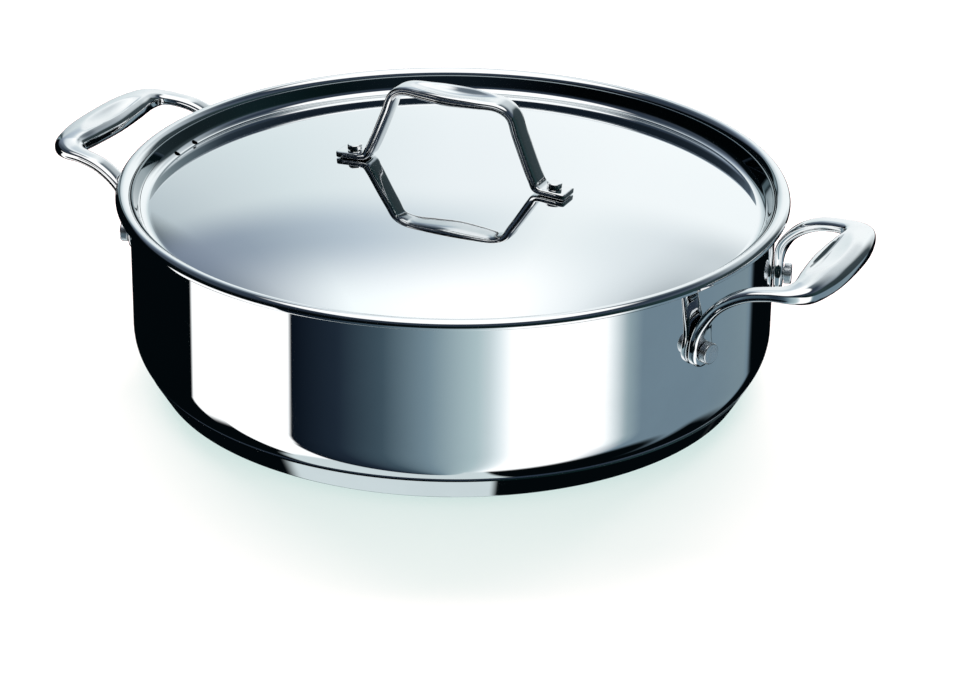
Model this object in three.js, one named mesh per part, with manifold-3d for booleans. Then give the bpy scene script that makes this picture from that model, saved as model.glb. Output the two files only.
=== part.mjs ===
// A 28 cm stainless saute pan with an inset lid: a deep drawn body with a rolled pouring rim,
// an aluminium core under its floor held in a steel cap, two cast loop handles on rivets, and
// a domed lid with a straining groove and a riveted bridge handle.
// Millimetres, +Z up, the handles along X; z = 0 is the underside of the base.
import * as THREE from 'three';
import { mergeVertices } from 'three/addons/utils/BufferGeometryUtils.js';
import Module from 'manifold-3d';

const wasm = await Module();
wasm.setup();

// Clearance between pieces that touch, then facets: round the pan, round a rivet, round a bar,
// and rings that round off a pad's end
const GAP = 0.3;
const PAN_FACETS = 60;
const RIVET_FACETS = 12;
const BAR_POINTS = 14;
const PAD_END_RINGS = 6;
// Length of a drill, in thicknesses of the piece that it goes through
const DRILL_REACH = 6;

// Body: wall, bottom corner, floor and rim
const WALL_R = 141;
const BODY_SHEET = 0.9;
const FLOOR_Z = 6.3;
const CORNER_TOP_Z = 25;
const CORNER_REACH = 15.5;
const RIM_R = 147;
const RIM_TOP_Z = 87.1;
const RIM_SHOULDER = 3.8;
const RIM_EDGE = 3.1;
const RIM_LIP_Z = 83.8;

// Sandwich base: cap and core
const CAP_SHEET = 0.8;
const CAP_BOTTOM_R = 130;
const CAP_TOP_R = 136.2;
const CAP_TOP_Z = 10.4;
const CAP_EDGE = 1.5;
const CORE_R = 127.5;
const CORE_CHAMFER = 2;

// Lid: edge in the rim's shoulder, skirt, rounded straining groove and a dome that flattens inwards
const LID_SHEET = 0.7;
const LID_EDGE_R = 140;
const LID_EDGE_DROP = 0.3;
const LID_FLANGE_R = 139.4;
const LID_FLANGE_Z = 85;
const LID_FLANGE_FILLET = 0.5;
const LID_GROOVE_R = 135.9;
const LID_GROOVE_Z = 77.2;
const LID_GROOVE_FILLET = 4;
const LID_APEX_Z = 89.9;
const DOME_POWER = 2.4;
const STRAIN_HOLE_R = 1.5;
const STRAIN_HOLE_ANGLE = THREE.MathUtils.degToRad(3.3);
const STRAIN_SEAT_R = 135.4;
const STRAIN_SEAT_Z = 78.2;
const STRAIN_SEAT_LEAN = THREE.MathUtils.degToRad(26.6);

// Side handles: round-ended pads on the wall, legs that rise and turn outwards, and a grip whose
// hollow lies along a bead round the finger gap; a hollow's lowest line and its reach to each
// side are parts of the bar's half width
const PAD_ANGLE = THREE.MathUtils.degToRad(18.1);
const PAD_THICK = 4.2;
const PAD_HALF = 6.4;
const NECK_HALF = 5.2;
const RIVET_Z = 54;
const PAD_BOTTOM_Z = RIVET_Z - 7.2;
const PAD_TOP_Z = RIVET_Z + 6;
const LEG_HALF = 4.6;
const LEG_THICK = 4.9;
const LEG_TAPER = 0.152;
const LEG_REACH_AND_Z = [[1.8, 67.8], [7.7, 75.4], [17.6, 81.2], [27.3, 83.2]];
const GRIP_Z = 83.6;
const GRIP_THICK = 10.8;
const GRIP_DISH = { depth: 2.8, low: -0.3, inner: 0.45, outer: 1 };
const GRIP_VOID_EDGE = [[168.2, 33.8], [169.6, 30.6], [168.6, 19.5], [167.4, 0]];
const GRIP_OUTER_EDGE = [[173.4, 43.4], [181, 37.6], [185.8, 22.6], [187.4, 0]];

// Lid handle: square tabs, leaning legs and a wide dished bridge
const LID_RIVET_X = 48.2;
const TAB_END_X = 55.6;
const TAB_INNER_X = 44;
const TAB_THICK = 3.4;
const TAB_HALF = 5.8;
const LID_LEG_HALF = 4.7;
const LID_LEG_THICK = 4;
const LID_LEG_X_AND_Z = [[39.8, 92.8], [37.4, 97.6], [31.2, 115.6], [28.2, 123.6]];
const BRIDGE_X_AND_Z = [[23.2, 127.2], [12, 127.6], [0, 127.4]];
const BRIDGE_HALF = 8.4;
const BRIDGE_THICK = 6.2;
const BRIDGE_DISH = { depth: 2.6, low: 0, inner: 1, outer: 1 };

// Rivets: shank, outer head and the low head on the far side
const PAN_RIVET = { shank: 3, head: 4.6, height: 3.4, round: 0.7, inner: 4.8, innerHeight: 1.5 };
const LID_RIVET = { shank: 2, head: 3.4, height: 2.4, round: 0.6, inner: 3.6, innerHeight: 1.2 };

function steel(colour, roughness) {
  return new THREE.MeshStandardMaterial({ color: colour, roughness, metalness: 1 });
}

const POLISHED_STEEL = steel('#c9ced2', 0.06);
const LID_STEEL = steel('#c6cbd0', 0.1);
const CAST_STEEL = steel('#c4c8cb', 0.14);
const SATIN_STEEL = steel('#a9b0b5', 0.32);
const ALUMINIUM = steel('#b4b6b8', 0.45);

// Points along an ellipse arc; angles in degrees, counter-clockwise from the outward direction
function arc(centreR, centreZ, radiusR, radiusZ, from, to, steps) {
  return Array.from({ length: steps + 1 }, (_, i) => {
    const angle = THREE.MathUtils.degToRad(from + ((to - from) * i) / steps);
    return new THREE.Vector2(centreR + radiusR * Math.cos(angle), centreZ + radiusZ * Math.sin(angle));
  });
}

// A line through the given corners, each rounded with its own radius
function roundedLine(corners, steps = 2) {
  const line = [];
  corners.forEach(([r, z, radius = 0], i) => {
    const corner = new THREE.Vector2(r, z);
    if (radius === 0) {
      line.push(corner);
      return;
    }
    const before = new THREE.Vector2(...corners[i - 1].slice(0, 2)).sub(corner).normalize();
    const after = new THREE.Vector2(...corners[i + 1].slice(0, 2)).sub(corner).normalize();
    const half = Math.acos(before.dot(after)) / 2;
    const start = corner.clone().addScaledVector(before, radius / Math.tan(half));
    const end = corner.clone().addScaledVector(after, radius / Math.tan(half));
    for (let k = 0; k <= steps; k += 1) {
      const t = k / steps;
      const outer = start.clone().multiplyScalar((1 - t) ** 2);
      outer.addScaledVector(corner, 2 * t * (1 - t)).addScaledVector(end, t ** 2);
      line.push(outer);
    }
  });
  return line;
}

// The same line moved sideways by a sheet's thickness, to its right for a positive distance
function offsetLine(line, distance) {
  return line.map((point, i) => {
    const before = line[Math.max(i - 1, 0)];
    const after = line[Math.min(i + 1, line.length - 1)];
    const along = after.clone().sub(before).normalize();
    return new THREE.Vector2(point.x + along.y * distance, point.y - along.x * distance);
  });
}

// A closed mesh with shared vertices and no collapsed triangles
function clean(geometry) {
  const bare = geometry.clone();
  bare.deleteAttribute('normal');
  bare.deleteAttribute('uv');
  const merged = mergeVertices(bare, 1e-4);
  const kept = [];
  const index = merged.index.array;
  for (let i = 0; i < index.length; i += 3) {
    const [a, b, c] = [index[i], index[i + 1], index[i + 2]];
    if (a !== b && b !== c && c !== a) kept.push(a, b, c);
  }
  merged.setIndex(kept);
  return merged;
}

function toSolid(geometry) {
  const closed = clean(geometry);
  const vertProperties = new Float32Array(closed.attributes.position.array);
  const triVerts = new Uint32Array(closed.index.array);
  return new wasm.Manifold(new wasm.Mesh({ numProp: 3, vertProperties, triVerts }));
}

function toGeometry(solid) {
  const mesh = solid.getMesh();
  const geometry = new THREE.BufferGeometry();
  geometry.setAttribute('position', new THREE.BufferAttribute(mesh.vertProperties, 3));
  geometry.setIndex(new THREE.BufferAttribute(mesh.triVerts, 1));
  return geometry;
}

function cut(geometry, tools) {
  return toGeometry(tools.reduce((solid, tool) => solid.subtract(toSolid(tool)), toSolid(geometry)));
}

// A body turned about Z from a profile of radius and height
function turned(profile, facets) {
  return clean(new THREE.LatheGeometry(profile, facets).rotateX(Math.PI / 2));
}

// A drill of the given radius through a point, along a direction
function drill(radius, length, centre, direction) {
  const bit = new THREE.CylinderGeometry(radius, radius, length, RIVET_FACETS);
  bit.applyQuaternion(new THREE.Quaternion().setFromUnitVectors(new THREE.Vector3(0, 1, 0), direction));
  return bit.translate(centre.x, centre.y, centre.z);
}

// Height of the lid's upper face at a distance from the axis
function domeHeight(r) {
  const fall = LID_APEX_Z - LID_GROOVE_Z;
  return LID_APEX_Z - fall * (Math.abs(r) / LID_GROOVE_R) ** DOME_POWER;
}

// The lid's outward normal at a distance along X
function domeNormal(x) {
  const edgeSlope = (DOME_POWER * (LID_APEX_Z - LID_GROOVE_Z)) / LID_GROOVE_R;
  const slope = edgeSlope * (Math.abs(x) / LID_GROOVE_R) ** (DOME_POWER - 1);
  return new THREE.Vector3(Math.sign(x) * slope, 0, 1).normalize();
}

// Where a side handle's rivet crosses the outer face of the wall, and its outward direction
function wallRivet(side) {
  const direction = new THREE.Vector3(Math.cos(PAD_ANGLE), side * Math.sin(PAD_ANGLE), 0);
  const point = direction.clone().multiplyScalar(WALL_R).setZ(RIVET_Z);
  return { direction, point };
}

// Where a lid rivet crosses the lid's upper face, and its direction
function lidRivet(side) {
  const x = side * LID_RIVET_X;
  return { direction: domeNormal(x), point: new THREE.Vector3(x, 0, domeHeight(x)) };
}

// Drawn body: outer face from the floor's centre up to the lip, and the inner face back again
function panBody() {
  const cornerDrop = CORNER_TOP_Z - FLOOR_Z;
  const cornerR = WALL_R - CORNER_REACH;
  const innerR = WALL_R - BODY_SHEET;
  const shoulderR = innerR + RIM_SHOULDER;
  const shoulderZ = RIM_TOP_Z - RIM_SHOULDER;
  const edgeR = RIM_R - RIM_EDGE;
  const edgeZ = RIM_TOP_Z - RIM_EDGE;
  const under = (radius) => radius - BODY_SHEET;
  const outside = [
    new THREE.Vector2(0, FLOOR_Z),
    ...arc(cornerR, CORNER_TOP_Z, CORNER_REACH, cornerDrop, -90, 0, 4),
    ...arc(shoulderR, shoulderZ, under(RIM_SHOULDER), under(RIM_SHOULDER), 180, 90, 2),
    ...arc(edgeR, edgeZ, under(RIM_EDGE), under(RIM_EDGE), 90, 0, 2),
    new THREE.Vector2(RIM_R - BODY_SHEET, RIM_LIP_Z),
  ];
  const inside = [
    new THREE.Vector2(RIM_R, RIM_LIP_Z),
    ...arc(edgeR, edgeZ, RIM_EDGE, RIM_EDGE, 0, 90, 4),
    ...arc(shoulderR, shoulderZ, RIM_SHOULDER, RIM_SHOULDER, 90, 180, 4),
    ...arc(cornerR, CORNER_TOP_Z, under(CORNER_REACH), under(cornerDrop), 0, -90, 4),
    new THREE.Vector2(0, FLOOR_Z + BODY_SHEET),
  ];
  const depth = DRILL_REACH * BODY_SHEET;
  const holes = [-1, 1].map(wallRivet).flatMap(({ direction, point }) => [
    drill(PAN_RIVET.shank + GAP, depth, point, direction),
    drill(PAN_RIVET.shank + GAP, depth, point, direction).rotateZ(Math.PI),
  ]);
  return cut(turned([...outside, ...inside], PAN_FACETS), holes);
}

// Cap: a shallow steel cup whose slanting side reaches up round the body's corner
function baseCap() {
  const outside = roundedLine([
    [0, 0],
    [CAP_BOTTOM_R, 0, CAP_EDGE],
    [CAP_TOP_R, CAP_TOP_Z],
  ]);
  const inside = offsetLine(outside, -CAP_SHEET).reverse();
  inside[inside.length - 1].x = 0;
  return turned([...outside, ...inside], PAN_FACETS);
}

// Core: the aluminium disc that fills the cap under the floor
function baseCore() {
  const bottom = CAP_SHEET + GAP;
  const top = FLOOR_Z - GAP;
  const profile = [
    new THREE.Vector2(0, bottom),
    new THREE.Vector2(CORE_R - CORE_CHAMFER, bottom),
    new THREE.Vector2(CORE_R, bottom + CORE_CHAMFER),
    new THREE.Vector2(CORE_R - CORE_CHAMFER, top),
    new THREE.Vector2(0, top),
  ];
  return turned(profile, PAN_FACETS);
}

// Lid: one sheet from the dome's apex out to the edge that lies in the rim's shoulder
function lidShell() {
  const domeSteps = 7;
  const dome = Array.from({ length: domeSteps }, (_, i) => {
    const r = (LID_GROOVE_R * i) / domeSteps;
    return [r, domeHeight(r)];
  });
  const upper = roundedLine([
    ...dome,
    [LID_GROOVE_R, LID_GROOVE_Z, LID_GROOVE_FILLET],
    [LID_FLANGE_R, LID_FLANGE_Z, LID_FLANGE_FILLET],
    [LID_EDGE_R, LID_FLANGE_Z - LID_EDGE_DROP],
  ], 4);
  const lower = offsetLine(upper, LID_SHEET);
  lower[0].x = 0;
  const sheet = turned([...lower, ...upper.reverse()], PAN_FACETS);
  const strainHoles = [-1, 1].map((side) => {
    const seat = new THREE.Vector3(-STRAIN_SEAT_R, 0, STRAIN_SEAT_Z);
    const normal = new THREE.Vector3(Math.sin(STRAIN_SEAT_LEAN), 0, Math.cos(STRAIN_SEAT_LEAN));
    return drill(STRAIN_HOLE_R, DRILL_REACH * LID_SHEET, seat, normal).rotateZ(side * STRAIN_HOLE_ANGLE);
  });
  const rivetHoles = [-1, 1].map(lidRivet).map(({ direction, point }) =>
    drill(LID_RIVET.shank + GAP, DRILL_REACH * LID_SHEET, point, direction));
  return cut(sheet, [...strainHoles, ...rivetHoles]);
}

// A rivet turned about Z, with z = 0 at the face that its outer piece rests on
function rivet(size, grip, sheet) {
  const headZ = grip + 2 * GAP;
  const topZ = headZ + size.height;
  const innerZ = -sheet - 2 * GAP;
  const profile = [
    new THREE.Vector2(0, innerZ - size.innerHeight),
    ...arc(0, innerZ, size.inner, size.innerHeight, -60, 0, 2),
    new THREE.Vector2(size.shank, innerZ),
    new THREE.Vector2(size.shank, headZ),
    new THREE.Vector2(size.head, headZ),
    ...arc(size.head - size.round, topZ - size.round, size.round, size.round, 0, 90, 2),
    new THREE.Vector2(0, topZ),
  ];
  return turned(profile, RIVET_FACETS);
}

// Outline of a flat bar: rounded edges by a superellipse, with a hollow along its upper face;
// the first number runs from edge to edge as -1 to 1, the second is a height
function barSection({ thick, square, dish, depth }) {
  const shape = (value) => Math.sign(value) * Math.abs(value) ** (2 / square);
  return Array.from({ length: BAR_POINTS }, (_, i) => {
    const angle = (2 * Math.PI * i) / BAR_POINTS;
    const across = shape(Math.cos(angle));
    const height = (thick / 2) * shape(Math.sin(angle));
    const away = (across - dish.low) / (across < dish.low ? dish.inner : dish.outer);
    const hollow = height > 0 ? depth * Math.max(1 - away ** 2, 0) ** 1.5 : 0;
    return [across, height - hollow];
  });
}

// A value that follows keys of [place, value] with smooth steps between them
function keyed(keys, place) {
  const next = keys.findIndex(([at]) => at >= place);
  if (next === 0) return keys[0][1];
  if (next < 0) return keys[keys.length - 1][1];
  const [[fromAt, from], [toAt, to]] = [keys[next - 1], keys[next]];
  const t = (place - fromAt) / (toAt - fromAt);
  return from + (to - from) * t * t * (3 - 2 * t);
}

// A bar between two edge lines, each given by points for its first half and mirrored for the
// other; a place is counted in points from the nearer end
function edgedBar(edges, places, mirror, sectionAt) {
  const last = edges.length - 1;
  const curves = [0, 1].map((edge) => {
    const half = edges.map((pair) => pair[edge]);
    const rest = half.slice(0, -1).reverse().map((point) => point.clone().multiply(mirror));
    return new THREE.CatmullRomCurve3([...half, ...rest], false, 'centripetal');
  });
  const all = [...places, last, ...[...places].reverse().map((place) => 2 * last - place)];
  const lines = all.map((place) => curves.map((curve) => curve.getPoint(place / (2 * last))));
  const centres = lines.map(([inner, outer]) => inner.clone().add(outer).divideScalar(2));
  const vertices = lines.flatMap(([inner, outer], i) => {
    const ahead = centres[Math.min(i + 1, all.length - 1)];
    const along = ahead.clone().sub(centres[Math.max(i - 1, 0)]);
    const across = outer.clone().sub(inner).divideScalar(2);
    const up = along.clone().cross(across).normalize();
    const { section, width } = sectionAt(Math.min(all[i], 2 * last - all[i]), centres[i]);
    return barSection(section).map(([v, u]) =>
      centres[i].clone().addScaledVector(across, v * width).addScaledVector(up, u));
  });
  return loft(vertices, BAR_POINTS);
}

// Faces over rings of vertices, with both ends closed
function loft(vertices, sides) {
  const last = vertices.length - sides;
  const faces = [];
  for (let ring = 0; ring < last; ring += sides) {
    for (let k = 0; k < sides; k += 1) {
      const a = ring + k;
      const b = ring + ((k + 1) % sides);
      faces.push(a, b, a + sides, b, b + sides, a + sides);
    }
  }
  for (let k = 1; k < sides - 1; k += 1) {
    faces.push(0, k + 1, k);
    faces.push(last, last + k, last + k + 1);
  }
  const geometry = new THREE.BufferGeometry().setFromPoints(vertices);
  geometry.setIndex(faces);
  return geometry;
}

// Side handle: a cast loop from one pad to the other, the same on both sides of its middle;
// its places run from the pad's bottom, rivet and top (0 to 2) up the leg (3 to 6) to the grip
function sideHandle() {
  const padR = WALL_R + GAP + PAD_THICK / 2;
  const padX = padR * Math.cos(PAD_ANGLE);
  const padY = padR * Math.sin(PAD_ANGLE);
  const pad = ([half, z]) => [-half, half].map((offset) => new THREE.Vector3(
    padX - offset * Math.sin(PAD_ANGLE), padY + offset * Math.cos(PAD_ANGLE), z));
  const pads = [[PAD_HALF, PAD_BOTTOM_Z], [PAD_HALF, RIVET_Z], [NECK_HALF, PAD_TOP_Z]].map(pad);
  const leg = ([reach, z]) => [-LEG_HALF, LEG_HALF].map((offset) => new THREE.Vector3(
    padX + reach, padY - LEG_TAPER * reach + offset, z));
  const grip = GRIP_VOID_EDGE.map((point, i) =>
    [point, GRIP_OUTER_EDGE[i]].map(([x, y]) => new THREE.Vector3(x, y, GRIP_Z)));
  const edges = [...pads, ...LEG_REACH_AND_Z.map(leg), ...grip];
  const roundEnd = Array.from({ length: PAD_END_RINGS }, (_, i) => ((i + 1) / (PAD_END_RINGS + 1)) ** 2);
  const spans = Array.from({ length: 2 * (edges.length - 2) }, (_, i) => 1 + i / 2);
  const mirror = new THREE.Vector3(1, -1, 1);
  const loop = edgedBar(edges, [...roundEnd, ...spans], mirror, (place, centre) => {
    const beyond = Math.max(1 - (centre.z - PAD_BOTTOM_Z) / PAD_HALF, 0);
    const section = {
      thick: keyed([[2, PAD_THICK], [3, LEG_THICK], [6, LEG_THICK], [9.5, GRIP_THICK]], place),
      square: keyed([[2, 5], [3.5, 3.2], [7, 3], [9, 2.6]], place),
      dish: GRIP_DISH,
      depth: keyed([[6.5, 0], [8.5, GRIP_DISH.depth]], place),
    };
    return { section, width: Math.sqrt(1 - beyond ** 2) };
  });
  const holes = [-1, 1].map(wallRivet).map(({ direction, point }) =>
    drill(PAN_RIVET.shank + GAP, DRILL_REACH * PAD_THICK, point, direction));
  return cut(loop, holes);
}

// Lid handle: a bar from tab to tab, up the leaning legs and over the wide bridge;
// its places run from the tab (0 and 1) up the leg (2 to 5) to the middle of the bridge
function lidHandle() {
  const tabLift = GAP + TAB_THICK / 2;
  const tabs = [TAB_END_X, TAB_INNER_X].map((x) => [x, domeHeight(x) + tabLift]);
  const line = [...tabs, ...LID_LEG_X_AND_Z, ...BRIDGE_X_AND_Z];
  const last = line.length - 1;
  const edges = line.map(([x, z], i) => {
    const half = keyed([[1, TAB_HALF], [3, LID_LEG_HALF], [5, LID_LEG_HALF], [last, BRIDGE_HALF]], i);
    return [-half, half].map((y) => new THREE.Vector3(-x, y, z));
  });
  const places = Array.from({ length: 2 * last }, (_, i) => i / 2);
  const mirror = new THREE.Vector3(-1, 1, 1);
  const bar = edgedBar(edges, places, mirror, (place) => {
    const section = {
      thick: keyed([[1, TAB_THICK], [3, LID_LEG_THICK], [6, LID_LEG_THICK], [last, BRIDGE_THICK]], place),
      square: keyed([[1, 7], [3, 3.6], [6, 3]], place),
      dish: BRIDGE_DISH,
      depth: keyed([[6, 0], [last, BRIDGE_DISH.depth]], place),
    };
    return { section, width: 1 };
  });
  const holes = [-1, 1].map(lidRivet).map(({ direction, point }) =>
    drill(LID_RIVET.shank + GAP, DRILL_REACH * TAB_THICK, point, direction));
  return cut(bar, holes);
}

function mesh(name, geometry, material) {
  const piece = new THREE.Mesh(geometry, material);
  piece.name = name;
  return piece;
}

// A piece turned about Z, stood at a point with its axis along a direction
function placed(piece, { direction, point }) {
  piece.position.copy(point);
  piece.quaternion.setFromUnitVectors(new THREE.Vector3(0, 0, 1), direction);
  return piece;
}

// A handle with its two rivets; the left one is the right one turned half round the pan
function handleGroup(name, turn) {
  const group = new THREE.Group();
  group.rotation.z = turn;
  group.add(mesh(`${name}_handle`, sideHandle(), CAST_STEEL));
  const front = turn === 0 ? -1 : 1;
  [[front, 'front'], [-front, 'rear']].forEach(([side, end]) => {
    const piece = mesh(`${name}_handle_rivet_${end}`, rivet(PAN_RIVET, PAD_THICK, BODY_SHEET), SATIN_STEEL);
    group.add(placed(piece, wallRivet(side)));
  });
  return group;
}

function lidGroup() {
  const group = new THREE.Group();
  group.add(mesh('lid_shell', lidShell(), LID_STEEL));
  group.add(mesh('lid_handle', lidHandle(), CAST_STEEL));
  [[-1, 'left'], [1, 'right']].forEach(([side, end]) => {
    const piece = mesh(`lid_rivet_${end}`, rivet(LID_RIVET, TAB_THICK, LID_SHEET), SATIN_STEEL);
    group.add(placed(piece, lidRivet(side)));
  });
  return group;
}

const pan = new THREE.Group();
pan.add(mesh('pan_body', panBody(), POLISHED_STEEL));
pan.add(mesh('base_cap', baseCap(), POLISHED_STEEL));
pan.add(mesh('base_core', baseCore(), ALUMINIUM));
pan.add(handleGroup('right', 0));
pan.add(handleGroup('left', Math.PI));
pan.add(lidGroup());

export default pan;
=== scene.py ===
from math import acos, ceil, copysign, cos, hypot, pi, radians, sin, sqrt, tan, tau

import bmesh
import bpy
from mathutils import Matrix, Vector


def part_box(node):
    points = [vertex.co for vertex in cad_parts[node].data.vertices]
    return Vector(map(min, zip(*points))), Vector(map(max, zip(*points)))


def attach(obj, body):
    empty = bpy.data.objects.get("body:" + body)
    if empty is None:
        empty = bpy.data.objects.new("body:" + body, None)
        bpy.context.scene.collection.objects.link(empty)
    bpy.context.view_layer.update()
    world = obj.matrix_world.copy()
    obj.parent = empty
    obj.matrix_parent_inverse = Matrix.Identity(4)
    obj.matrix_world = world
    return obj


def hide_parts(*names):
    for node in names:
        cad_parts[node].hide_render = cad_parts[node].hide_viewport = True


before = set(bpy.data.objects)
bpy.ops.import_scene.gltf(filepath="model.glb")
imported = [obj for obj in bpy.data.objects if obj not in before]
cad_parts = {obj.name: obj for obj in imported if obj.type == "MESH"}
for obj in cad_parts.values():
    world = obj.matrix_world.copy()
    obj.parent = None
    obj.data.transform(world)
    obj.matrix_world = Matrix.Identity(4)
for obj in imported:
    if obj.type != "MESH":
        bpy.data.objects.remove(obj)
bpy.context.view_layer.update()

scene = bpy.context.scene
scene.view_settings.view_transform = "Standard"


# Camera: the pan seen from a step back and a little above, through a long lens.
# It stands 26 degrees round from the pan's own front, so that one handle comes forward.
RIM_CENTRE = Vector((0, 0, 0.08524))
VIEW_TURN = radians(26)
VIEW_RISE = radians(22.316)
VIEW_REACH = 1.43504
AIM_YAW = radians(0.490)
AIM_PITCH = radians(-2.734)
AIM_ROLL = radians(0.526)
LENS_MM = 123.03
SENSOR_MM = 36

ahead = Vector((0, cos(VIEW_RISE), -sin(VIEW_RISE)))
stand = RIM_CENTRE - VIEW_REACH * ahead
right = Vector((1, 0, 0))
up = right.cross(ahead)
ahead, right = (ahead * cos(AIM_YAW) + right * sin(AIM_YAW),
                right * cos(AIM_YAW) - ahead * sin(AIM_YAW))
ahead, up = (ahead * cos(AIM_PITCH) + up * sin(AIM_PITCH),
             up * cos(AIM_PITCH) - ahead * sin(AIM_PITCH))
right, up = (right * cos(AIM_ROLL) + up * sin(AIM_ROLL),
             up * cos(AIM_ROLL) - right * sin(AIM_ROLL))
aim = Matrix((right, up, -ahead)).transposed().to_4x4()

camera = bpy.data.objects.new("camera", bpy.data.cameras.new("camera"))
camera.data.sensor_fit = "HORIZONTAL"
camera.data.sensor_width = SENSOR_MM
camera.data.lens = LENS_MM
scene.collection.objects.link(camera)
camera.matrix_world = Matrix.Rotation(VIEW_TURN, 4, "Z") @ Matrix.Translation(stand) @ aim
scene.camera = camera


# Pan body: one sheet of stainless steel, deep drawn into a straight wall with a rounded bottom
# corner and rolled outwards at the top into a pouring rim, then polished to a mirror.
MM = 0.001
WALL_R = 141 * MM
BODY_SHEET = 0.9 * MM
FLOOR_Z = 6.3 * MM
CORNER_TOP_Z = 25 * MM
CORNER_REACH = 15.5 * MM
RIM_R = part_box("pan_body")[1].y
RIM_TOP_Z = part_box("pan_body")[1].z
RIM_SHOULDER = 3.8 * MM
RIM_EDGE = 3.1 * MM
RIM_LIP_Z = 83.8 * MM
RIVET_Z = 54 * MM
HOLE_ROW = 4 * MM
TURN_STEPS = 256
CREASE = radians(35)


def arc(centre_r, centre_z, radius_r, radius_z, start, end, steps):
    """Points along an ellipse arc of a profile; angles in degrees from the outward direction."""
    angles = [radians(start + (end - start) * i / steps) for i in range(steps + 1)]
    return [(centre_r + radius_r * cos(a), centre_z + radius_z * sin(a)) for a in angles]


def straight(start, end, near=0.3 * MM, far=7 * MM):
    """Points inside a straight stretch of a profile: two close to its ends, others well apart."""
    length = hypot(end[0] - start[0], end[1] - start[1])
    count = max(1, ceil((length - 2 * near) / far))
    steps = [(near + (length - 2 * near) * i / count) / length for i in range(count + 1)]
    return [tuple(a + (b - a) * t for a, b in zip(start, end)) for t in steps]


def finished(name, bm, material):
    """A piece from a bmesh: doubles merged, faces turned outwards, smooth but for its creases."""
    bmesh.ops.remove_doubles(bm, verts=bm.verts, dist=1e-6)
    bmesh.ops.recalc_face_normals(bm, faces=bm.faces)
    mesh = bpy.data.meshes.new(name)
    bm.to_mesh(mesh)
    bm.free()
    mesh.shade_smooth()
    mesh.set_sharp_from_angle(angle=CREASE)
    piece = bpy.data.objects.new(name, mesh)
    scene.collection.objects.link(piece)
    piece.data.materials.append(material)
    return piece


def turned(name, profile, material, steps=TURN_STEPS):
    """A closed piece turned about Z from a profile of radius and height."""
    bm = bmesh.new()
    line = [bm.verts.new((r, 0, z)) for r, z in profile]
    edges = [bm.edges.new(pair) for pair in zip(line, line[1:])]
    bmesh.ops.spin(bm, geom=line + edges, axis=(0, 0, 1), angle=tau, steps=steps, use_merge=True)
    return finished(name, bm, material)


def drilled(piece, drills, sides=40):
    """Cuts round holes; each drill is a centre, a direction, a radius and a length."""
    bm = bmesh.new()
    for centre, direction, radius, length in drills:
        place = Matrix.Translation(centre) @ direction.to_track_quat("Z", "Y").to_matrix().to_4x4()
        bmesh.ops.create_cone(bm, cap_ends=True, segments=sides, radius1=radius, radius2=radius,
                              depth=length, matrix=place)
    tool_mesh = bpy.data.meshes.new("drills")
    bm.to_mesh(tool_mesh)
    bm.free()
    tool = bpy.data.objects.new("drills", tool_mesh)
    scene.collection.objects.link(tool)
    cut = piece.modifiers.new("holes", "BOOLEAN")
    cut.object = tool
    cut.solver = "EXACT"
    whole = piece.evaluated_get(bpy.context.evaluated_depsgraph_get())
    mesh = bpy.data.meshes.new_from_object(whole)
    piece.modifiers.remove(cut)
    piece.data = mesh
    mesh.set_sharp_from_angle(angle=CREASE)
    bpy.data.objects.remove(tool)


def socket(group, name, kind, side, value=None):
    """A socket on the outside of a node group, with the value it starts from."""
    made = group.interface.new_socket(name=name, socket_type=f"NodeSocket{kind}", in_out=side)
    if value is not None:
        made.default_value = value


def turned_grain_group():
    """Hairlines round the axis, left by polishing a piece as it turns on a wheel."""
    group = bpy.data.node_groups.new("turned_grain", "ShaderNodeTree")
    socket(group, "Fineness", "Float", "INPUT", 900)
    socket(group, "Grain", "Float", "OUTPUT")
    nodes, links = group.nodes, group.links
    given, out = nodes.new("NodeGroupInput"), nodes.new("NodeGroupOutput")
    place = nodes.new("ShaderNodeTexCoord")
    apart = nodes.new("ShaderNodeSeparateXYZ")
    flat = nodes.new("ShaderNodeCombineXYZ")
    radius = nodes.new("ShaderNodeVectorMath")
    radius.operation = "LENGTH"
    across = nodes.new("ShaderNodeCombineXYZ")
    lines = nodes.new("ShaderNodeTexNoise")
    lines.inputs["Detail"].default_value = 3
    links.new(place.outputs["Object"], apart.inputs[0])
    links.new(apart.outputs["X"], flat.inputs["X"])
    links.new(apart.outputs["Y"], flat.inputs["Y"])
    links.new(flat.outputs[0], radius.inputs[0])
    links.new(radius.outputs["Value"], across.inputs["X"])
    links.new(apart.outputs["Z"], across.inputs["Y"])
    links.new(across.outputs[0], lines.inputs["Vector"])
    links.new(given.outputs["Fineness"], lines.inputs["Scale"])
    links.new(lines.outputs["Fac"], out.inputs["Grain"])
    return group


def handling_group():
    """Faint cloudy marks from wiping and handling, as a mask from 0 to 1."""
    group = bpy.data.node_groups.new("handling_marks", "ShaderNodeTree")
    socket(group, "Size", "Float", "INPUT", 30)
    socket(group, "Marks", "Float", "OUTPUT")
    nodes, links = group.nodes, group.links
    given, out = nodes.new("NodeGroupInput"), nodes.new("NodeGroupOutput")
    place = nodes.new("ShaderNodeTexCoord")
    cloud = nodes.new("ShaderNodeTexNoise")
    cloud.inputs["Detail"].default_value = 6
    cloud.inputs["Roughness"].default_value = 0.62
    shape = nodes.new("ShaderNodeMapRange")
    shape.interpolation_type = "SMOOTHSTEP"
    shape.inputs["From Min"].default_value = 0.42
    shape.inputs["From Max"].default_value = 0.72
    links.new(place.outputs["Object"], cloud.inputs["Vector"])
    links.new(given.outputs["Size"], cloud.inputs["Scale"])
    links.new(cloud.outputs["Fac"], shape.inputs["Value"])
    links.new(shape.outputs["Result"], out.inputs["Marks"])
    return group


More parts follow.
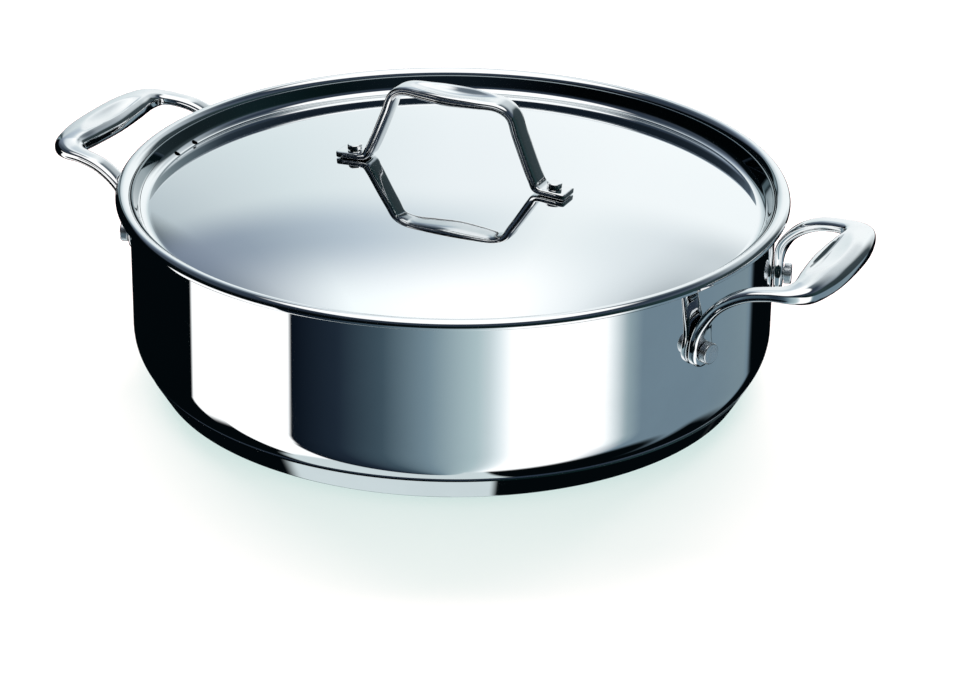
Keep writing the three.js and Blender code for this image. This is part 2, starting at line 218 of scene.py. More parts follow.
def ranged(material, value, low, high):
    """A mask from 0 to 1 spread between two values."""
    node = material.node_tree.nodes.new("ShaderNodeMapRange")
    node.inputs["To Min"].default_value = low
    node.inputs["To Max"].default_value = high
    material.node_tree.links.new(value, node.inputs["Value"])
    return node.outputs["Result"]


def placed_group(material, group, **values):
    """A node group put into a material; its first output."""
    node = material.node_tree.nodes.new("ShaderNodeGroup")
    node.node_tree = group
    for name, value in values.items():
        node.inputs[name].default_value = value
    return node.outputs[0]


def metal(name):
    """A bare metal finish: its shader, and a bump in front of the shader's normal."""
    material = bpy.data.materials.new(name)
    material.use_nodes = True
    shader = material.node_tree.nodes["Principled BSDF"]
    shader.inputs["Metallic"].default_value = 1
    bump = material.node_tree.nodes.new("ShaderNodeBump")
    material.node_tree.links.new(bump.outputs["Normal"], shader.inputs["Normal"])
    return material, shader, bump


def tinted(material, mask, dark, bright):
    """Two tones of a metal, mixed by a mask."""
    ramp = material.node_tree.nodes.new("ShaderNodeValToRGB")
    ramp.color_ramp.elements[0].color = (*dark, 1)
    ramp.color_ramp.elements[1].color = (*bright, 1)
    material.node_tree.links.new(mask, ramp.inputs["Fac"])
    return ramp.outputs["Color"]


turned_grain = turned_grain_group()
handling_marks = handling_group()

polished_steel, shader, bump = metal("polished_steel")
grain = placed_group(polished_steel, turned_grain, Fineness=1400)
marks = placed_group(polished_steel, handling_marks, Size=22)
wire = polished_steel.node_tree.links.new
tone = tinted(polished_steel, marks, (0.84, 0.86, 0.87), (0.80, 0.82, 0.83))
wire(tone, shader.inputs["Base Color"])
wire(ranged(polished_steel, marks, 0.018, 0.045), shader.inputs["Roughness"])
bump.inputs["Strength"].default_value = 0.02
bump.inputs["Distance"].default_value = 0.02 * MM
wire(grain, bump.inputs["Height"])

corner_drop = CORNER_TOP_Z - FLOOR_Z
corner_r = WALL_R - CORNER_REACH
inner_r = WALL_R - BODY_SHEET
shoulder_r = inner_r + RIM_SHOULDER
shoulder_z = RIM_TOP_Z - RIM_SHOULDER
edge_r = RIM_R - RIM_EDGE
edge_z = RIM_TOP_Z - RIM_EDGE
lip_r = RIM_R - BODY_SHEET
roll = RIM_SHOULDER - BODY_SHEET
edge_roll = RIM_EDGE - BODY_SHEET
inner_reach = CORNER_REACH - BODY_SHEET
inner_drop = corner_drop - BODY_SHEET
inner_floor = FLOOR_Z + BODY_SHEET

outside = [
    (0, FLOOR_Z),
    *straight((0, FLOOR_Z), (corner_r, FLOOR_Z)),
    *arc(corner_r, CORNER_TOP_Z, CORNER_REACH, corner_drop, -90, 0, steps=28),
    *straight((WALL_R, CORNER_TOP_Z), (WALL_R, RIVET_Z - HOLE_ROW)),
    *straight((WALL_R, RIVET_Z + HOLE_ROW), (WALL_R, shoulder_z)),
    *arc(shoulder_r, shoulder_z, roll, roll, 180, 90, steps=16),
    *arc(edge_r, edge_z, edge_roll, edge_roll, 90, 0, steps=12),
    (lip_r, RIM_LIP_Z),
]
lip = arc(RIM_R - BODY_SHEET / 2, RIM_LIP_Z, BODY_SHEET / 2, BODY_SHEET / 2, 180, 360, steps=8)[1:-1]
inside = [
    (RIM_R, RIM_LIP_Z),
    *arc(edge_r, edge_z, RIM_EDGE, RIM_EDGE, 0, 90, steps=16),
    *arc(shoulder_r, shoulder_z, RIM_SHOULDER, RIM_SHOULDER, 90, 180, steps=18),
    *straight((inner_r, shoulder_z), (inner_r, RIVET_Z + HOLE_ROW)),
    *straight((inner_r, RIVET_Z - HOLE_ROW), (inner_r, CORNER_TOP_Z)),
    *arc(corner_r, CORNER_TOP_Z, inner_reach, inner_drop, 0, -90, steps=28),
    *straight((corner_r, inner_floor), (0, inner_floor)),
    (0, inner_floor),
]
pan_body = turned("pan_body_drawn", outside + lip + inside, polished_steel)

PAD_ANGLE = radians(18.1)
RIVET_SHANK_R = 3 * MM
CLEARANCE = 0.3 * MM
WALL_DRILL = 6 * MM
rivet_height = Vector((0, 0, RIVET_Z))
wall_seats = [Vector((turn * cos(PAD_ANGLE), side * sin(PAD_ANGLE), 0))
              for turn in (1, -1) for side in (1, -1)]
drilled(pan_body, [(seat * WALL_R + rivet_height, seat, RIVET_SHANK_R + CLEARANCE, WALL_DRILL)
                   for seat in wall_seats])
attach(pan_body, "pan")
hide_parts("pan_body")


# Base: an aluminium disc under the floor spreads the heat, and a shallow pressed steel cap,
# polished like the body, closes it in and leaves a fine groove round the bottom corner.
CAP_SHEET = 0.8 * MM
CAP_BOTTOM_R = 130 * MM
CAP_TOP_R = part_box("base_cap")[1].y
CAP_TOP_Z = 10.4 * MM
CAP_EDGE = 1.5 * MM
SHORT_STRAIGHT = 1 * MM


def rounded(corners, steps=10):
    """A profile through corners of radius, height and rounding, with straights between them."""
    line = []
    for i, (r, z, radius) in enumerate(corners):
        if radius == 0:
            stretch = [(r, z)]
        else:
            corner = Vector((r, z))
            before = (Vector(corners[i - 1][:2]) - corner).normalized()
            after = (Vector(corners[i + 1][:2]) - corner).normalized()
            half = acos(before.dot(after)) / 2
            centre = corner + (before + after).normalized() * radius / sin(half)
            first = (corner + before * radius / tan(half) - centre).normalized()
            last = (corner + after * radius / tan(half) - centre).normalized()
            stretch = [tuple(centre + first.slerp(last, k / steps) * radius)
                       for k in range(steps + 1)]
        if line and (Vector(stretch[0]) - Vector(line[-1])).length > SHORT_STRAIGHT:
            line += straight(line[-1], stretch[0])
        line += stretch
    return line


def beside(line, distance):
    """A profile moved to its right by a sheet's thickness."""
    moved = []
    for i, (r, z) in enumerate(line):
        before, after = line[max(i - 1, 0)], line[min(i + 1, len(line) - 1)]
        length = hypot(after[0] - before[0], after[1] - before[1])
        moved.append((r + (after[1] - before[1]) / length * distance,
                      z - (after[0] - before[0]) / length * distance))
    return moved


cap_outside = rounded([(0, 0, 0), (CAP_BOTTOM_R, 0, CAP_EDGE), (CAP_TOP_R, CAP_TOP_Z, 0)])
cap_inside = beside(cap_outside, -CAP_SHEET)[::-1]
cap_inside[-1] = (0, CAP_SHEET)
base_cap = turned("base_cap_pressed", cap_outside + cap_inside, polished_steel)
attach(base_cap, "pan")
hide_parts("base_cap")

core_aluminium, shader, bump = metal("core_aluminium")
grain = placed_group(core_aluminium, turned_grain, Fineness=500)
wire = core_aluminium.node_tree.links.new
tone = tinted(core_aluminium, grain, (0.60, 0.61, 0.62), (0.72, 0.73, 0.74))
wire(tone, shader.inputs["Base Color"])
wire(ranged(core_aluminium, grain, 0.35, 0.5), shader.inputs["Roughness"])
bump.inputs["Strength"].default_value = 0.2
bump.inputs["Distance"].default_value = 0.05 * MM
wire(grain, bump.inputs["Height"])
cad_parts["base_core"].material_slots[0].material = core_aluminium


# Lid: one pressed sheet, with an edge that lies in the rim's shoulder, a skirt that drops into
# the pan, a rounded groove with two straining holes on the left, and a shallow polished dome.
# The skirt's colour is painted darker than the dome's: painted shade and dark reflection from inside
# the pan.
LID_SHEET = 0.7 * MM
LID_EDGE_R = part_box("lid_shell")[1].y
LID_EDGE_DROP = 0.3 * MM
LID_FLANGE_R, LID_FLANGE_Z = 139.4 * MM, 85 * MM
LID_GROOVE_R, LID_GROOVE_Z = 135.9 * MM, 77.2 * MM
LID_APEX_Z = 92 * MM
DOME_POWER = 2.4
DOME_STOP = 4.2 * MM
DOME_RINGS = 60
GROOVE_FILLET = 4 * MM
FLANGE_FILLET = 0.5 * MM
FILLET_STEPS = 24
SKIRT_R = 137.2 * MM
SKIRT_BLEND = 0.3 * MM
STRAIN_HOLE_R = 1.5 * MM
STRAIN_HOLE_ANGLE = radians(3.3)
STRAIN_SEAT_R, STRAIN_SEAT_Z = 135.4 * MM, 78.2 * MM
STRAIN_SEAT_LEAN = radians(26.6)
LID_RIVET_X = 48.2 * MM
LID_SHANK_R = 2 * MM
LID_DRILL = 5 * MM


def dome_height(x):
    """The height of the dome's upper face at a distance from the axis."""
    return LID_APEX_Z - (LID_APEX_Z - LID_GROOVE_Z) * (abs(x) / LID_GROOVE_R) ** DOME_POWER


def dome_normal(x):
    """The dome's upward direction at a place along X."""
    edge_slope = DOME_POWER * (LID_APEX_Z - LID_GROOVE_Z) / LID_GROOVE_R
    slope = edge_slope * (abs(x) / LID_GROOVE_R) ** (DOME_POWER - 1)
    return Vector((copysign(slope, x), 0, 1)).normalized()


def beyond_radius_group():
    """A mask that turns from 0 to 1 at a distance from the axis."""
    group = bpy.data.node_groups.new("beyond_radius", "ShaderNodeTree")
    socket(group, "Radius", "Float", "INPUT", 0.1)
    socket(group, "Beyond", "Float", "OUTPUT")
    nodes, links = group.nodes, group.links
    given, out = nodes.new("NodeGroupInput"), nodes.new("NodeGroupOutput")
    place = nodes.new("ShaderNodeTexCoord")
    flat = nodes.new("ShaderNodeVectorMath")
    flat.operation = "MULTIPLY"
    flat.inputs[1].default_value = (1, 1, 0)
    radius = nodes.new("ShaderNodeVectorMath")
    radius.operation = "LENGTH"
    past = nodes.new("ShaderNodeMath")
    past.operation = "SUBTRACT"
    step = nodes.new("ShaderNodeMapRange")
    step.interpolation_type = "SMOOTHSTEP"
    step.inputs["From Min"].default_value = -SKIRT_BLEND
    step.inputs["From Max"].default_value = SKIRT_BLEND
    links.new(place.outputs["Object"], flat.inputs[0])
    links.new(flat.outputs[0], radius.inputs[0])
    links.new(radius.outputs["Value"], past.inputs[0])
    links.new(given.outputs["Radius"], past.inputs[1])
    links.new(past.outputs[0], step.inputs["Value"])
    links.new(step.outputs["Result"], out.inputs["Beyond"])
    return group


lid_steel, shader, bump = metal("lid_steel")
grain = placed_group(lid_steel, turned_grain, Fineness=1100)
marks = placed_group(lid_steel, handling_marks, Size=16)
wire = lid_steel.node_tree.links.new
# Painted shade: past the skirt's radius the lid is coloured dark, standing in for the shade and dark
# reflections inside the pan.
skirt_painted_shade = placed_group(lid_steel, beyond_radius_group(), Radius=SKIRT_R)
tone = tinted(lid_steel, skirt_painted_shade, (0.85, 0.87, 0.88), (0.24, 0.29, 0.31))
wire(tone, shader.inputs["Base Color"])
wire(ranged(lid_steel, marks, 0.022, 0.05), shader.inputs["Roughness"])
bump.inputs["Strength"].default_value = 0.02
bump.inputs["Distance"].default_value = 0.02 * MM
wire(grain, bump.inputs["Height"])

dome_end = LID_GROOVE_R - DOME_STOP
dome_radii = [dome_end * i / DOME_RINGS for i in range(DOME_RINGS)]
lid_upper = [(r, dome_height(r)) for r in dome_radii] + rounded([
    (dome_end, dome_height(dome_end), 0),
    (LID_GROOVE_R, LID_GROOVE_Z, GROOVE_FILLET),
    (LID_FLANGE_R, LID_FLANGE_Z, FLANGE_FILLET),
    (LID_EDGE_R, LID_FLANGE_Z - LID_EDGE_DROP, 0),
], FILLET_STEPS)
lid_lower = beside(lid_upper, LID_SHEET)
lid_lower[0] = (0, LID_APEX_Z - LID_SHEET)
lid_shell = turned("lid_pressed", lid_lower + lid_upper[::-1], lid_steel)
strain_seat = Vector((-STRAIN_SEAT_R, 0, STRAIN_SEAT_Z))
strain_up = Vector((sin(STRAIN_SEAT_LEAN), 0, cos(STRAIN_SEAT_LEAN)))
holes = []
for side in (-1, 1):
    swing = Matrix.Rotation(side * STRAIN_HOLE_ANGLE, 3, "Z")
    holes.append((swing @ strain_seat, swing @ strain_up, STRAIN_HOLE_R, LID_DRILL))
    seat = Vector((side * LID_RIVET_X, 0, dome_height(LID_RIVET_X)))
    holes.append((seat, dome_normal(side * LID_RIVET_X), LID_SHANK_R + CLEARANCE, LID_DRILL))
drilled(lid_shell, holes)
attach(lid_shell, "lid")
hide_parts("lid_shell")


# Side handles: loops of cast stainless steel, tumbled and polished. Each has two round-ended
# pads on the wall, two fluted legs that rise and turn outwards, and a wide grip with a hollow.
PAD_THICK = 4.2 * MM
PAD_HALF = 6.4 * MM
NECK_HALF = 5.2 * MM
PAD_BOTTOM_Z = RIVET_Z - 7.2 * MM
PAD_TOP_Z = RIVET_Z + 6 * MM
LEG_HALF = 4.6 * MM
LEG_THICK = 4.9 * MM
LEG_TAPER = 0.152
LEG_REACH_AND_Z = [(1.8, 67.8), (7.7, 75.4), (17.6, 81.2), (27.3, 83.2)]
GRIP_Z = 83.6 * MM
GRIP_THICK = 10.8 * MM
GRIP_VOID_EDGE = [(168.2, 33.8), (169.6, 30.6), (168.6, 19.5), (167.4, 0)]
GRIP_OUTER_EDGE = [(173.4, 43.4), (181, 37.6), (185.8, 22.6), (187.4, 0)]
DISH_DEPTH = 2.2 * MM
DISH_HALF_LENGTH = 26 * MM
DISH_LOW, DISH_BEAD, DISH_OUTER = -0.46, 0.18, 0.8
DISH_FALL = 1.3
FLUTE_DEPTH = 0.5 * MM
FLUTE_REACH = 0.55
# How the section changes along the bar: rows of a place and the value there.
HANDLE_THICK = [(2, PAD_THICK), (3, LEG_THICK), (6, LEG_THICK), (9.5, GRIP_THICK)]
HANDLE_UPPER = [(2, 6), (3.5, 3.2), (7, 2.8), (9, 2.5)]
HANDLE_LOWER = [(2, 3.2), (3.5, 3), (7, 2.6), (9, 2.2)]
HANDLE_FLUTE = [(0.8, 0), (2, FLUTE_DEPTH), (6.4, FLUTE_DEPTH), (8, 0)]
HANDLE_DISH = [(6, 0), (8, DISH_DEPTH)]
BAR_POINTS = 128
BAR_DRILL = 20 * MM
SKIN_FINENESS = 420
END_RINGS = 14
END_START = 0.3
SPAN_RINGS = 12


def spline(points, place):
    """A centripetal curve through points; the whole part of a place counts the points."""
    i = min(int(place), len(points) - 2)
    t = place - i
    b, c = points[i], points[i + 1]
    a = points[i - 1] if i else 2 * b - c
    d = points[i + 2] if i + 2 < len(points) else 2 * c - b
    ab, bc, cd = (sqrt((q - p).length) for p, q in ((a, b), (b, c), (c, d)))
    leave = ((b - a) / ab - (c - a) / (ab + bc) + (c - b) / bc) * bc
    reach = ((c - b) / bc - (d - b) / (bc + cd) + (d - c) / cd) * bc
    return (b + leave * t + (3 * (c - b) - 2 * leave - reach) * t ** 2
            + (2 * (b - c) + leave + reach) * t ** 3)


def smooth(low, high, value):
    """A smooth step from 0 to 1 between two values."""
    t = min(max((value - low) / (high - low), 0), 1)
    return t * t * (3 - 2 * t)


def keyed(keys, place):
    """A value that follows keys of place and value, with smooth steps between them."""
    value = keys[0][1]
    for (start, first), (end, last) in zip(keys, keys[1:]):
        if place >= start:
            value = first + (last - first) * smooth(start, end, place)
    return value


def bar_outline(thick, upper, lower, flute):
    """A bar's section: -1 to 1 from edge to edge, and a height; fluted along both edges."""
    outline = []
    for i in range(BAR_POINTS):
        angle = tau * i / BAR_POINTS
        power = 2 / (upper if sin(angle) > 0 else lower)
        across = abs(cos(angle)) ** power
        height = abs(sin(angle)) ** power
        groove = flute * max(1 - (height / FLUTE_REACH) ** 2, 0) ** 2
        outline.append(((across - groove) * (1 if cos(angle) > 0 else -1),
                        height * thick / 2 * (1 if sin(angle) > 0 else -1)))
    return outline


def cast_bar(name, edges, places, mirror, section_at, material):
    """A bar between two edge lines, each given for one half and mirrored for the other."""
    last = len(edges) - 1
    lines = []
    for edge in (0, 1):
        half = [pair[edge] for pair in edges]
        lines.append(half + [p * mirror for p in half[-2::-1]])
    every = places + [last] + [2 * last - place for place in reversed(places)]
    pairs = [[spline(line, place) for line in lines] for place in every]
    centres = [(inner + outer) / 2 for inner, outer in pairs]
    bm = bmesh.new()
    rings = []
    for i, (inner, outer) in enumerate(pairs):
        along = centres[min(i + 1, len(every) - 1)] - centres[max(i - 1, 0)]
        across = (outer - inner) / 2
        lift = along.cross(across).normalized()
        section = section_at(min(every[i], 2 * last - every[i]), centres[i], across.length)
        rings.append([bm.verts.new(centres[i] + across * v + lift * u) for v, u in section])
    for one, two in zip(rings, rings[1:]):
        for k in range(BAR_POINTS):
            n = (k + 1) % BAR_POINTS
            bm.faces.new((one[k], one[n], two[n], two[k]))
    bm.faces.new(rings[0][::-1])
    bm.faces.new(rings[-1])
    return finished(name, bm, material)


def handle_section(place, centre, half):
    """The side handle's section at a place: a flat pad, a fluted leg, a grip with a hollow."""
    beyond = max(1 - (centre.z - PAD_BOTTOM_Z) / PAD_HALF, 0)
    width = sqrt(1 - beyond ** 2)
    thick = keyed(HANDLE_THICK, place) * (1 - beyond ** 4) ** (1 / 4)
    upper = keyed(HANDLE_UPPER, place)
    lower = keyed(HANDLE_LOWER, place)
    flute = keyed(HANDLE_FLUTE, place) / half
    dish = keyed(HANDLE_DISH, place)
    section = []
    for v, u in bar_outline(thick, upper, lower, flute):
        if u > 0 and dish > 0:
            reach = DISH_BEAD if v < DISH_LOW else DISH_OUTER
            far = (centre.y / DISH_HALF_LENGTH) ** 2 + ((v - DISH_LOW) / reach) ** 2
            u -= dish * max(1 - far, 0) ** DISH_FALL
        section.append((v * width, u))
    return section


cast_steel, shader, bump = metal("cast_steel")
marks = placed_group(cast_steel, handling_marks, Size=60)
skin = cast_steel.node_tree.nodes.new("ShaderNodeTexNoise")
skin.inputs["Scale"].default_value = SKIN_FINENESS
skin.inputs["Detail"].default_value = 4
coords = cast_steel.node_tree.nodes.new("ShaderNodeTexCoord")
wire = cast_steel.node_tree.links.new
wire(coords.outputs["Object"], skin.inputs["Vector"])
tone = tinted(cast_steel, marks, (0.86, 0.87, 0.875), (0.81, 0.82, 0.83))
wire(tone, shader.inputs["Base Color"])
wire(ranged(cast_steel, marks, 0.05, 0.09), shader.inputs["Roughness"])
bump.inputs["Strength"].default_value = 0.05
bump.inputs["Distance"].default_value = 0.08 * MM
wire(skin.outputs["Fac"], bump.inputs["Height"])

pad_r = WALL_R + CLEARANCE + PAD_THICK / 2
pad_x = pad_r * cos(PAD_ANGLE)
pad_y = pad_r * sin(PAD_ANGLE)
handle_edges = []
for half, z in ((PAD_HALF, PAD_BOTTOM_Z), (PAD_HALF, RIVET_Z), (NECK_HALF, PAD_TOP_Z)):
    handle_edges.append([Vector((pad_x - h * sin(PAD_ANGLE), pad_y + h * cos(PAD_ANGLE), z))
                         for h in (-half, half)])
for reach, z in LEG_REACH_AND_Z:
    handle_edges.append([Vector((pad_x + reach * MM, pad_y - LEG_TAPER * reach * MM + h, z * MM))
                         for h in (-LEG_HALF, LEG_HALF)])
for void_edge, outer_edge in zip(GRIP_VOID_EDGE, GRIP_OUTER_EDGE):
    handle_edges.append([Vector((x * MM, y * MM, GRIP_Z)) for x, y in (void_edge, outer_edge)])
pad_span = (RIVET_Z - PAD_BOTTOM_Z) / PAD_HALF
round_end = [(1 - cos(pi / 2 * (i + END_START) / END_RINGS)) / pad_span
             for i in range(END_RINGS)]
spans = [1 + i / SPAN_RINGS for i in range(SPAN_RINGS * (len(handle_edges) - 2))]
handle_places = round_end + [place for place in spans if place > round_end[-1]]
for name, turn in (("right", 0), ("left", pi)):
    handle = cast_bar(f"{name}_handle_cast", handle_edges, handle_places, Vector((1, -1, 1)),
                      handle_section, cast_steel)
    handle.data.transform(Matrix.Rotation(turn, 4, "Z"))
    drilled(handle, [(seat * WALL_R + rivet_height, seat, RIVET_SHANK_R + CLEARANCE, BAR_DRILL)
                     for seat in wall_seats if seat.x * cos(turn) > 0])
    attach(handle, "pan")
    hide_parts(f"{name}_handle")


# Lid handle: a cast bar bent up from two flat tabs into a wide bridge with a hollow for the
# fingers, fluted along its edges and polished like the side handles.
TAB_END_X = 55.6 * MM
TAB_STRAIGHT_X = 46 * MM
TAB_INNER_X = 44 * MM
TAB_RINGS = 10
TAB_THICK = 2.7 * MM
TAB_HALF = 5.8 * MM
TAB_ROUND = 0.8 * MM
TAB_CORNER = 2 * MM
LID_LEG_HALF = 5.2 * MM
LID_LEG_THICK = 4.4 * MM
LID_LEG_X_AND_Z = [(41.2, 93.6), (39.6, 96.4), (37.6, 100.6), (31.4, 115.6), (28.2, 123.6)]
BRIDGE_X_AND_Z = [(23.2, 126.7), (12, 127.1), (0, 126.9)]
BRIDGE_HALF = 8.4 * MM
BRIDGE_THICK = 6.2 * MM
BRIDGE_DISH = 2.4 * MM
BRIDGE_DISH_HALF = 21 * MM
BRIDGE_DISH_WIDE = 0.85
LID_FLUTE = 0.5 * MM
tab_lift = CLEARANCE + TAB_THICK / 2
lid_line = [(x, dome_height(x) + tab_lift) for x in (TAB_END_X, TAB_STRAIGHT_X, TAB_INNER_X)]
lid_line += [(x * MM, z * MM) for x, z in LID_LEG_X_AND_Z + BRIDGE_X_AND_Z]
BRIDGE = len(lid_line) - 1
LID_HALF = [(2, TAB_HALF), (4, LID_LEG_HALF), (7, LID_LEG_HALF), (BRIDGE, BRIDGE_HALF)]
LID_THICK = [(2, TAB_THICK), (4, LID_LEG_THICK), (8, LID_LEG_THICK), (BRIDGE, BRIDGE_THICK)]
LID_UPPER = [(2, 8), (4, 3.6), (8, 3.8)]
LID_LOWER = [(2, 8), (4, 3.6), (8, 2.8)]
LID_FLUTES = [(0.2, 0), (0.5, LID_FLUTE)]
LID_DISH = [(7.5, 0), (8.5, BRIDGE_DISH)]


def rounded_off(distance, radius):
    """How far a rounded end stands back, at a distance in from it."""
    short = radius - min(distance, radius)
    return radius - sqrt(radius ** 2 - short ** 2)


def lid_handle_section(place, centre, half):
    """The lid handle's section at a place: a flat tab, a fluted leg, a dished bridge."""
    from_end = TAB_END_X - abs(centre.x)
    narrowed = 1 - rounded_off(from_end, TAB_CORNER) / half
    thick = keyed(LID_THICK, place) - 2 * rounded_off(from_end, TAB_ROUND)
    upper = keyed(LID_UPPER, place)
    lower = keyed(LID_LOWER, place)
    flute = keyed(LID_FLUTES, place) / half
    dish = keyed(LID_DISH, place)
    section = []
    for v, u in bar_outline(thick, upper, lower, flute):
        if u > 0 and dish > 0:
            far = (centre.x / BRIDGE_DISH_HALF) ** 2 + (v / BRIDGE_DISH_WIDE) ** 2
            u -= dish * max(1 - far, 0) ** DISH_FALL
        section.append((v * narrowed, u))
    return section


lid_edges = []
for i, (x, z) in enumerate(lid_line):
    half = keyed(LID_HALF, i)
    lid_edges.append([Vector((-x, y, z)) for y in (-half, half)])
corner_span = TAB_CORNER / (TAB_END_X - TAB_STRAIGHT_X)
tab_end = [corner_span * (1 - cos(pi / 2 * i / TAB_RINGS)) for i in range(TAB_RINGS + 1)]
spans = [i / SPAN_RINGS for i in range(SPAN_RINGS * BRIDGE)]
lid_places = tab_end + [place for place in spans if place > tab_end[-1]]
lid_handle = cast_bar("lid_handle_cast", lid_edges, lid_places, Vector((-1, 1, 1)),
                      lid_handle_section, cast_steel)
drilled(lid_handle, [(Vector((side * LID_RIVET_X, 0, dome_height(LID_RIVET_X))),
                      dome_normal(side * LID_RIVET_X), LID_SHANK_R + CLEARANCE, BAR_DRILL)
                     for side in (-1, 1)])
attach(lid_handle, "lid")
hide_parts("lid_handle")


# Rivets: solid stainless rivets with a flat-topped head outside and a low head inside, four satin
# ones through the pan's wall and the side handles' pads, two polished ones through lid and tabs.
PAN_HEAD_R, PAN_HEAD_HEIGHT, PAN_HEAD_BEVEL = 4.6 * MM, 3.4 * MM, 0.7 * MM
PAN_INNER_R, PAN_INNER_HEIGHT = 4.8 * MM, 1.5 * MM
LID_HEAD_R, LID_HEAD_HEIGHT, LID_HEAD_BEVEL = 3.3 * MM, 2.2 * MM, 0.6 * MM
LID_INNER_R, LID_INNER_HEIGHT = 3.6 * MM, 1.2 * MM
HEAD_ROW = 0.1 * MM
RIVET_STEPS = 48

rivet_steel, shader, bump = metal("rivet_steel")
marks = placed_group(rivet_steel, handling_marks, Size=300)
wire = rivet_steel.node_tree.links.new
tone = tinted(rivet_steel, marks, (0.80, 0.83, 0.85), (0.70, 0.73, 0.75))
wire(tone, shader.inputs["Base Color"])
wire(ranged(rivet_steel, marks, 0.3, 0.4), shader.inputs["Roughness"])
bump.inputs["Strength"].default_value = 0.1
bump.inputs["Distance"].default_value = 0.05 * MM
wire(marks, bump.inputs["Height"])


def rivet_tree():
    """Stands a rivet on each seat, with its axis along the seat's outward direction."""
    tree = bpy.data.node_groups.new("rivets_on_seats", "GeometryNodeTree")
    socket(tree, "Seats", "Geometry", "INPUT")
    socket(tree, "Rivet", "Object", "INPUT")
    socket(tree, "Size", "Float", "INPUT", 1)
    socket(tree, "Finish", "Material", "INPUT")
    socket(tree, "Rivets", "Geometry", "OUTPUT")
    nodes, links = tree.nodes, tree.links
    given, out = nodes.new("NodeGroupInput"), nodes.new("NodeGroupOutput")
    axis = nodes.new("GeometryNodeInputNamedAttribute")
    axis.data_type = "FLOAT_VECTOR"
    axis.inputs["Name"].default_value = "outward"
    lean = nodes.new("FunctionNodeAlignRotationToVector")
    lean.axis = "Z"
    blank = nodes.new("GeometryNodeObjectInfo")
    stood = nodes.new("GeometryNodeInstanceOnPoints")
    real = nodes.new("GeometryNodeRealizeInstances")
    finish = nodes.new("GeometryNodeSetMaterial")
    links.new(given.outputs["Rivet"], blank.inputs["Object"])
    links.new(given.outputs["Seats"], stood.inputs["Points"])
    links.new(blank.outputs["Geometry"], stood.inputs["Instance"])
    links.new(axis.outputs["Attribute"], lean.inputs["Vector"])
    links.new(lean.outputs["Rotation"], stood.inputs["Rotation"])
    links.new(given.outputs["Size"], stood.inputs["Scale"])
    links.new(stood.outputs["Instances"], real.inputs["Geometry"])
    links.new(real.outputs["Geometry"], finish.inputs["Geometry"])
    links.new(given.outputs["Finish"], finish.inputs["Material"])
    links.new(finish.outputs["Geometry"], out.inputs["Rivets"])
    return tree


def rivets(name, seats, blank, tree, finish):
    """One mesh of like rivets; each seat is a point and its outward direction."""
    mesh = bpy.data.meshes.new(name)
    mesh.from_pydata([point for point, _ in seats], [], [])
    outward = mesh.attributes.new("outward", "FLOAT_VECTOR", "POINT")
    for i, (_, direction) in enumerate(seats):
        outward.data[i].vector = direction
    piece = bpy.data.objects.new(name, mesh)
    scene.collection.objects.link(piece)
    made = piece.modifiers.new("rivets", "NODES")
    made.node_group = tree
    values = {"Rivet": blank, "Finish": finish, "Size": 1.0}
    for item in tree.interface.items_tree:
        if item.name in values:
            made[item.identifier] = values[item.name]
    whole = piece.evaluated_get(bpy.context.evaluated_depsgraph_get())
    piece.data = bpy.data.meshes.new_from_object(whole)
    piece.modifiers.remove(made)
    bpy.data.objects.remove(blank)
    return piece


def rivet_blank(shank, head, height, bevel, inner, inner_height, grip, sheet):
    """A rivet turned about Z, with z = 0 at the face that its outer piece rests on."""
    head_z = grip + 2 * CLEARANCE
    top_z = head_z + height
    inner_z = -sheet - 2 * CLEARANCE
    foot_z = head_z + bevel / 3
    profile = [(0, inner_z - inner_height), *arc(0, inner_z, inner, inner_height, -88, 0, steps=10),
               (shank, inner_z), (shank, head_z), (head - bevel / 3, head_z), (head, foot_z),
               *straight((head, foot_z), (head, top_z - bevel), HEAD_ROW),
               *arc(head - bevel, top_z - bevel, bevel, bevel, 0, 90, steps=8),
               *straight((head - bevel, top_z), (0, top_z), HEAD_ROW), (0, top_z)]
    return turned("rivet_blank", profile, rivet_steel, RIVET_STEPS)


tree = rivet_tree()
blank = rivet_blank(RIVET_SHANK_R, PAN_HEAD_R, PAN_HEAD_HEIGHT, PAN_HEAD_BEVEL,
                    PAN_INNER_R, PAN_INNER_HEIGHT, PAD_THICK, BODY_SHEET)
pan_seats = [(seat * WALL_R + rivet_height, seat) for seat in wall_seats]
pan_rivets = rivets("pan_rivets", pan_seats, blank, tree, rivet_steel)
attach(pan_rivets, "pan")
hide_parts(*(f"{name}_handle_rivet_{end}"
                          for name in ("right", "left") for end in ("front", "rear")))
blank = rivet_blank(LID_SHANK_R, LID_HEAD_R, LID_HEAD_HEIGHT, LID_HEAD_BEVEL,
                    LID_INNER_R, LID_INNER_HEIGHT, TAB_THICK, LID_SHEET)
lid_seats = [(Vector((x, 0, dome_height(x))), dome_normal(x)) for x in (-LID_RIVET_X, LID_RIVET_X)]
lid_rivets = rivets("lid_rivets", lid_seats, blank, tree, cast_steel)
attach(lid_rivets, "lid")
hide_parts("lid_rivet_left", "lid_rivet_right")


